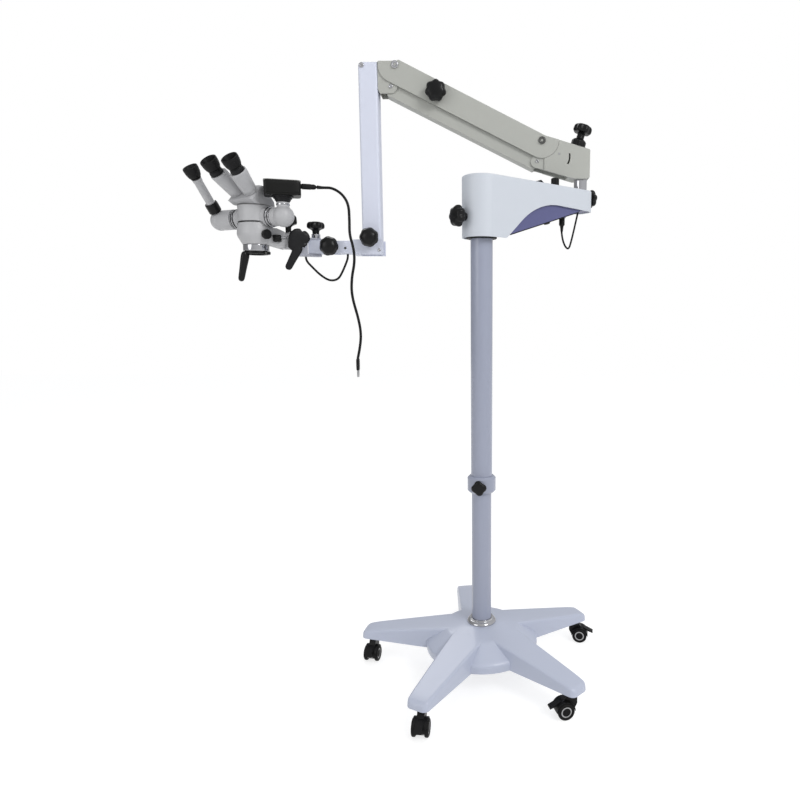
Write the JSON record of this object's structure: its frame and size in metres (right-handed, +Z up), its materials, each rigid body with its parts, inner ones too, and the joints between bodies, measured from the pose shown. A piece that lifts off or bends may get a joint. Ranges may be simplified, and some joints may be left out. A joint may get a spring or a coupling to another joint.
{
  "type": "surgical microscope",
  "caption": "Floor-standing surgical microscope: five-legged caster base, telescoping column, sprung parallel arm, tilting head with binocular, side camera and assistant tube.",
  "frame": {"origin": "point of the floor under the column's axis", "axes": "+Z up the column; +X towards the arm post's side, the head reaches out along -X; +Y away from the picture's camera"},
  "size_m": [0.999, 0.6208, 1.4685],
  "materials": {
    "arm_paint": "painted warm light grey, fine texture",
    "base_paint": "satin pale grey enamel",
    "black_metal": "black anodised",
    "black_plastic": "black moulded",
    "black_rubber": "black",
    "camera_case": "black painted",
    "caster_shell": "black moulded",
    "caster_tread": "black",
    "chassis": "blue-violet enamel",
    "chrome": "polished",
    "column_paint": "satin pale grey-lilac enamel",
    "drop_paint": "painted bluish white",
    "head_paint": "painted off-white grey",
    "housing": "moulded pale bluish white",
    "lead_sheath": "black flexible sheath",
    "lens_glass": "coated",
    "spring_steel": "oiled",
    "steel": "brushed"
  },
  "bodies": {
    "base": {"star_base": "base_paint", "column_ring": "chrome", "lower_column": "column_paint"},
    "caster_1": {"caster_housing_1": "caster_shell"},
    "wheels_1": {"caster_wheels_1": "caster_tread"},
    "caster_2": {"caster_housing_2": "caster_shell"},
    "wheels_2": {"caster_wheels_2": "caster_tread"},
    "caster_3": {"caster_housing_3": "caster_shell"},
    "wheels_3": {"caster_wheels_3": "caster_tread"},
    "caster_4": {"caster_housing_4": "caster_shell"},
    "wheels_4": {"caster_wheels_4": "caster_tread"},
    "caster_5": {"caster_housing_5": "caster_shell"},
    "wheels_5": {"caster_wheels_5": "caster_tread"},
    "mast": {"upper_column": "column_paint"},
    "collar_clamp": {"collar_knob": "black_plastic"},
    "console": {"console_shell": "housing", "console_chassis": "chassis", "console_plug": "black_rubber", "console_lead": "lead_sheath"},
    "console_clamp": {"console_knob": "black_plastic"},
    "post_clamp": {"post_knob": "black_plastic"},
    "dimmer": {"brightness_knob": "black_plastic"},
    "rocker": {"power_switch": "black_plastic"},
    "arm_base": {"arm_post": "chrome", "rear_box": "arm_paint"},
    "balance_adjuster": {"spring_knob": "black_plastic"},
    "link_upper": {"upper_link": "arm_paint", "balance_spring": "spring_steel"},
    "link_lower": {"lower_link": "arm_paint"},
    "arm_clamp": {"arm_knob": "black_plastic"},
    "drop": {"knuckle": "arm_paint", "drop_arm": "drop_paint"},
    "lower": {"lower_arm": "drop_paint"},
    "elbow_clamp": {"lower_arm_knob": "black_plastic"},
    "swivel": {"swivel_block": "drop_paint", "light_lead": "lead_sheath"},
    "wrist_clamp": {"block_knob": "black_plastic"},
    "yoke": {"tilt_yoke": "black_metal"},
    "swivel_clamp": {"swivel_knob": "black_plastic"},
    "tilt_clamp": {"tilt_lever": "black_metal"},
    "microscope": {"scope_body": "head_paint", "tilt_disc": "black_metal", "beam_splitter": "head_paint", "objective_ring": "chrome", "objective_lens": "lens_glass", "grip_handle": "black_plastic", "binocular_body": "head_paint"},
    "scope_clamp": {"clamp_knob": "black_plastic"},
    "zoom": {"zoom_knob": "black_plastic"},
    "eyepiece_right": {"eye_tube_right": "head_paint", "eye_cup_right": "black_rubber"},
    "eyepiece_left": {"eye_tube_left": "head_paint", "eye_cup_left": "black_rubber"},
    "camera_unit": {"camera_coupler": "head_paint", "camera_body": "camera_case", "camera_plug": "steel", "camera_lead": "lead_sheath"},
    "assistant_unit": {"assistant_elbow": "head_paint", "assistant_tube": "head_paint", "assistant_cup": "black_rubber"}
  },
  "joints": [
    {"name": "caster_swivel_1", "type": "hinge", "parent": "base", "child": "caster_1", "pos_m": [0.24481, 0.12527, 0.06], "axis": [0, 0, 1], "continuous": true},
    {"name": "wheel_roll_1", "type": "hinge", "parent": "caster_1", "child": "wheels_1", "pos_m": [0.26155, 0.12232, 0.019], "axis": [0.1736, 0.9848, 0], "continuous": true},
    {"name": "caster_swivel_2", "type": "hinge", "parent": "base", "child": "caster_2", "pos_m": [-0.04349, 0.27154, 0.06], "axis": [0, 0, 1], "continuous": true},
    {"name": "wheel_roll_2", "type": "hinge", "parent": "caster_2", "child": "wheels_2", "pos_m": [-0.04054, 0.28828, 0.019], "axis": [-0.9848, 0.1736, 0], "continuous": true},
    {"name": "caster_swivel_3", "type": "hinge", "parent": "base", "child": "caster_3", "pos_m": [-0.27169, 0.04254, 0.06], "axis": [0, 0, 1], "continuous": true},
    {"name": "wheel_roll_3", "type": "hinge", "parent": "caster_3", "child": "wheels_3", "pos_m": [-0.27464, 0.0258, 0.019], "axis": [0.9848, -0.1736, 0], "continuous": true},
    {"name": "caster_swivel_4", "type": "hinge", "parent": "base", "child": "caster_4", "pos_m": [-0.12442, -0.24524, 0.06], "axis": [0, 0, 1], "continuous": true},
    {"name": "wheel_roll_4", "type": "hinge", "parent": "caster_4", "child": "wheels_4", "pos_m": [-0.1259, -0.26218, 0.019], "axis": [0.9962, -0.0872, 0], "continuous": true},
    {"name": "caster_swivel_5", "type": "hinge", "parent": "base", "child": "caster_5", "pos_m": [0.19479, -0.19412, 0.06], "axis": [0, 0, 1], "continuous": true},
    {"name": "wheel_roll_5", "type": "hinge", "parent": "caster_5", "child": "wheels_5", "pos_m": [0.17837, -0.19851, 0.019], "axis": [0.2588, -0.9659, 0], "continuous": true},
    {"name": "column_lift", "type": "slide", "parent": "base", "child": "mast", "axis": [0, 0, 1], "range_m": [-0.3, 0.2]},
    {"name": "collar_knob_turn", "type": "hinge", "parent": "mast", "child": "collar_clamp", "pos_m": [-0.0047, -0.03347, 0.466], "axis": [-0.1392, -0.9903, 0], "range_deg": [-90, 360]},
    {"name": "console_turn", "type": "hinge", "parent": "mast", "child": "console", "pos_m": [0, 0, 1.1], "axis": [0, 0, 1], "range_deg": [-170, 170]},
    {"name": "console_knob_turn", "type": "hinge", "parent": "console", "child": "console_clamp", "pos_m": [-0.03554, -0.02644, 1.0775], "axis": [-0.8023, -0.5969, 0], "range_deg": [-90, 360]},
    {"name": "post_knob_turn", "type": "hinge", "parent": "console", "child": "post_clamp", "pos_m": [0.265, 0.19716, 1.152], "axis": [0.8023, 0.5969, 0], "range_deg": [-90, 360]},
    {"name": "dimmer_turn", "type": "hinge", "parent": "console", "child": "dimmer", "pos_m": [0.17811, 0.13252, 1.168], "axis": [0, 0, 1], "range_deg": [-150, 150]},
    {"name": "rocker_tilt", "type": "hinge", "parent": "console", "child": "rocker", "pos_m": [0.1412, 0.10506, 1.166], "axis": [-0.5969, 0.8023, 0], "range_deg": [0, 14]},
    {"name": "arm_swing", "type": "hinge", "parent": "console", "child": "arm_base", "pos_m": [0.24711, 0.18385, 1.18], "axis": [0, 0, 1], "range_deg": [-170, 170]},
    {"name": "balance_knob_turn", "type": "hinge", "parent": "arm_base", "child": "balance_adjuster", "pos_m": [0.237, 0.18385, 1.27133], "axis": [0.2815, 0, 0.9596], "range_deg": [-360, 360]},
    {"name": "arm_lift", "type": "hinge", "parent": "arm_base", "child": "link_upper", "pos_m": [0.1477, 0.18385, 1.2837], "axis": [0, 1, 0], "range_deg": [-33, 6], "deforming": ["balance_spring"]},
    {"name": "link_follow", "type": "hinge", "parent": "arm_base", "child": "link_lower", "pos_m": [0.1364, 0.18385, 1.2358], "axis": [0, 1, 0], "range_deg": [-33, 6]},
    {"name": "arm_knob_turn", "type": "hinge", "parent": "link_upper", "child": "arm_clamp", "pos_m": [-0.1101, 0.15755, 1.39386], "axis": [0, -1, 0], "range_deg": [-90, 360]},
    {"name": "drop_level", "type": "hinge", "parent": "link_upper", "child": "drop", "pos_m": [-0.20849, 0.18385, 1.45743], "axis": [0, 1, 0], "range_deg": [-6, 33]},
    {"name": "elbow_tilt", "type": "hinge", "parent": "drop", "child": "lower", "pos_m": [-0.277, 0.18385, 1.051], "axis": [0, 1, 0], "range_deg": [-8, 25]},
    {"name": "elbow_knob_turn", "type": "hinge", "parent": "lower", "child": "elbow_clamp", "pos_m": [-0.277, 0.15595, 1.051], "axis": [0, -1, 0], "range_deg": [-90, 360]},
    {"name": "wrist_tilt", "type": "hinge", "parent": "lower", "child": "swivel", "pos_m": [-0.377, 0.18385, 1.03], "axis": [0, 1, 0], "range_deg": [-40, 20]},
    {"name": "wrist_knob_turn", "type": "hinge", "parent": "lower", "child": "wrist_clamp", "pos_m": [-0.377, 0.15855, 1.03], "axis": [0, -1, 0], "range_deg": [-90, 360]},
    {"name": "head_swivel", "type": "hinge", "parent": "swivel", "child": "yoke", "pos_m": [-0.4195, 0.18385, 1.058], "axis": [0, 0, 1], "range_deg": [-80, 25], "deforming": ["light_lead"]},
    {"name": "swivel_knob_turn", "type": "hinge", "parent": "yoke", "child": "swivel_clamp", "pos_m": [-0.4195, 0.18385, 1.0633], "axis": [0, 0, 1], "range_deg": [-90, 360]},
    {"name": "lever_turn", "type": "hinge", "parent": "yoke", "child": "tilt_clamp", "pos_m": [-0.4433, 0.15517, 1.06], "axis": [0.4395, -0.8982, 0], "range_deg": [-15, 45]},
    {"name": "head_tilt", "type": "hinge", "parent": "yoke", "child": "microscope", "pos_m": [-0.45299, 0.16747, 1.043], "axis": [0.8982, 0.4395, 0], "range_deg": [-30, 15], "deforming": ["camera_lead"]},
    {"name": "scope_knob_turn", "type": "hinge", "parent": "microscope", "child": "scope_clamp", "pos_m": [-0.47994, 0.15428, 1.0638], "axis": [0, 0, 1], "range_deg": [-90, 360]},
    {"name": "zoom_turn", "type": "hinge", "parent": "microscope", "child": "zoom", "pos_m": [-0.51635, 0.09275, 1.053], "axis": [0.7771, -0.6293, 0], "range_deg": [-120, 120]},
    {"name": "pupil_distance", "type": "hinge", "parent": "microscope", "child": "eyepiece_right", "pos_m": [-0.54397, 0.08303, 1.14932], "axis": [-0.2763, -0.6509, 0.7071], "range_deg": [-25, 38]},
    {"name": "pupil_follow", "type": "hinge", "parent": "microscope", "child": "eyepiece_left", "pos_m": [-0.58079, 0.09866, 1.14932], "axis": [-0.2763, -0.6509, 0.7071], "range_deg": [-38, 25]},
    {"name": "camera_turn", "type": "hinge", "parent": "microscope", "child": "camera_unit", "pos_m": [-0.49477, 0.09656, 1.094], "axis": [0.9205, -0.3907, 0], "range_deg": [-40, 6]},
    {"name": "assistant_turn", "type": "hinge", "parent": "microscope", "child": "assistant_unit", "pos_m": [-0.60523, 0.14344, 1.094], "axis": [0.9205, -0.3907, 0], "range_deg": [-60, 45]}
  ],
  "couplings": [
    {"joint": "link_follow", "follows": "arm_lift", "ratio": 1},
    {"joint": "drop_level", "follows": "arm_lift", "ratio": -1},
    {"joint": "pupil_follow", "follows": "pupil_distance", "ratio": -1}
  ]
}
